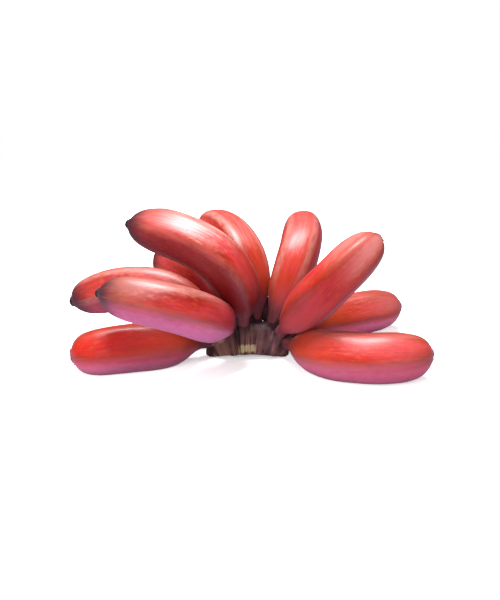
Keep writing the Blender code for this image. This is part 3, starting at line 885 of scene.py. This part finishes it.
def build_stage():
    """White floor and surround, a large soft light overhead, a low fill, and the camera.

    The floor shows one colour to the camera and throws another on the fruit, half of it in
    reflections; far away it is as bright as the surround. Close around the hand its glow is lowered
    as a painted shadow. The fill isn't mirrored in the peel.
    """
    settings = bpy.context.scene.stage_settings
    half = FLOOR_HALF
    floor_mesh = bpy.data.meshes.new("floor")
    floor_mesh.from_pydata([(-half, -half, 0), (half, -half, 0), (half, half, 0), (-half, half, 0)],
                           [], [(0, 1, 2, 3)])
    floor = bpy.data.objects.new("floor", floor_mesh)
    bpy.context.scene.collection.objects.link(floor)
    material, wires, shader = new_material("floor_paper")
    place = wires.add("ShaderNodeTexCoord").outputs["Object"]
    away = wires.add("ShaderNodeVectorMath", operation="LENGTH")
    wires.link(place, away.inputs[0])
    far = wires.ramp(away.outputs["Value"], 0.30, 0.75)
    path = wires.add("ShaderNodeLightPath")
    seen = path.outputs["Is Camera Ray"]
    thrown = wires.mix(path.outputs["Is Glossy Ray"], tuple(settings.bounce),
                       tuple(0.5 * part for part in settings.bounce))
    paper = wires.mix(seen, thrown, tuple(settings.floor))
    wires.link(wires.mix(far, paper, (0.0, 0.0, 0.0)), shader.inputs["Base Color"])
    # Painted shadow: the floor's glow drops to six tenths close around the hand, full again ten
    # centimetres out.
    glow = wires.ramp(away.outputs["Value"], 0.03, 0.10, 0.6 * settings.glow, settings.glow)
    near = wires.math("MULTIPLY", seen, glow)
    beyond = wires.mix(seen, (settings.sky,) * 3, (1.0, 1.0, 1.0))
    wires.link(wires.mix(far, near, beyond), shader.inputs["Emission Color"])
    shader.inputs["Emission Strength"].default_value = 1.0
    shader.inputs["Roughness"].default_value = 0.6
    shader.inputs["Specular IOR Level"].default_value = 0.0
    floor_mesh.materials.append(material)
    world = bpy.data.worlds.new("studio")
    bpy.context.scene.world = world
    world.use_nodes = True
    wires = Wiring(world.node_tree)
    surround = world.node_tree.nodes["Background"]
    surround.inputs["Color"].default_value = (1.0, 1.0, 1.0, 1.0)
    seen = wires.add("ShaderNodeLightPath").outputs["Is Camera Ray"]
    wires.link(wires.ramp(seen, 0.0, 1.0, settings.sky, 1.0), surround.inputs["Strength"])
    middle = tuple((low + high) / 2 for low, high in zip(*CAD_BOX))
    soft_light("overhead", KEY_SIZE, settings.key, KEY_PLACE, middle)
    fill = soft_light("fill", FILL_SIZE, settings.fill, FILL_PLACE, middle)
    fill.visible_glossy = False
    camera = bpy.data.cameras.new("camera")
    camera.lens = settings.lens
    camera.sensor_width = SENSOR
    camera.clip_start = 0.05
    seat = bpy.data.objects.new("camera", camera)
    bpy.context.scene.collection.objects.link(seat)
    target = tuple((np.array(LOOK_AT) + OFFSET) * MM)
    seat.location = (target[0], target[1] - settings.distance * math.cos(settings.elevation),
                     target[2] + settings.distance * math.sin(settings.elevation))
    aim(seat, target)
    bpy.context.scene.camera = seat
    bpy.context.scene.view_settings.view_transform = "Standard"


# ---- add-on ------------------------------------------------------------------------------


class BANANA_OT_crown(bpy.types.Operator):
    """Build the fibrous cut crown"""

    bl_idname = "banana.crown"
    bl_label = "Crown"

    def execute(self, context):
        build_crown()
        return {"FINISHED"}


class BANANA_OT_front_row(bpy.types.Operator):
    """Build the five fingers of the front row"""

    bl_idname = "banana.front_row"
    bl_label = "Front row of fingers"

    def execute(self, context):
        build_fingers([name for name in FINGERS if name.startswith("finger_front")])
        return {"FINISHED"}


class BANANA_OT_back_row(bpy.types.Operator):
    """Build the five fingers of the back row"""

    bl_idname = "banana.back_row"
    bl_label = "Back row of fingers"

    def execute(self, context):
        build_fingers([name for name in FINGERS if name.startswith("finger_back")])
        return {"FINISHED"}


class BANANA_OT_stage(bpy.types.Operator):
    """Set up the floor, the lights and the camera"""

    bl_idname = "banana.stage"
    bl_label = "Studio"

    def execute(self, context):
        build_stage()
        return {"FINISHED"}


class BANANA_PT_panel(bpy.types.Panel):
    """Lists the pieces of the hand and their settings"""

    bl_label = "Red bananas"
    bl_idname = "BANANA_PT_panel"
    bl_space_type = "VIEW_3D"
    bl_region_type = "UI"
    bl_category = "Red bananas"

    def draw(self, context):
        for operator in OPERATORS:
            self.layout.operator(operator.bl_idname)
        for group in (context.scene.peel_settings, context.scene.crown_settings,
                      context.scene.stage_settings):
            box = self.layout.box()
            for key in group.bl_rna.properties.keys():
                if key not in ("rna_type", "name"):
                    box.prop(group, key)


OPERATORS = (BANANA_OT_crown, BANANA_OT_front_row, BANANA_OT_back_row, BANANA_OT_stage)
CLASSES = (PeelSettings, CrownSettings, StageSettings, *OPERATORS, BANANA_PT_panel)


def register():
    """Register the classes and the scene's settings."""
    for cls in CLASSES:
        bpy.utils.register_class(cls)
    bpy.types.Scene.peel_settings = PointerProperty(type=PeelSettings)
    bpy.types.Scene.crown_settings = PointerProperty(type=CrownSettings)
    bpy.types.Scene.stage_settings = PointerProperty(type=StageSettings)


def unregister():
    """Take the scene's settings and the classes away."""
    del bpy.types.Scene.stage_settings
    del bpy.types.Scene.crown_settings
    del bpy.types.Scene.peel_settings
    for cls in reversed(CLASSES):
        bpy.utils.unregister_class(cls)


def main():
    register()
    bpy.ops.banana.stage()
    bpy.ops.banana.crown()
    bpy.ops.banana.front_row()
    bpy.ops.banana.back_row()


if __name__ == "__main__":
    main()
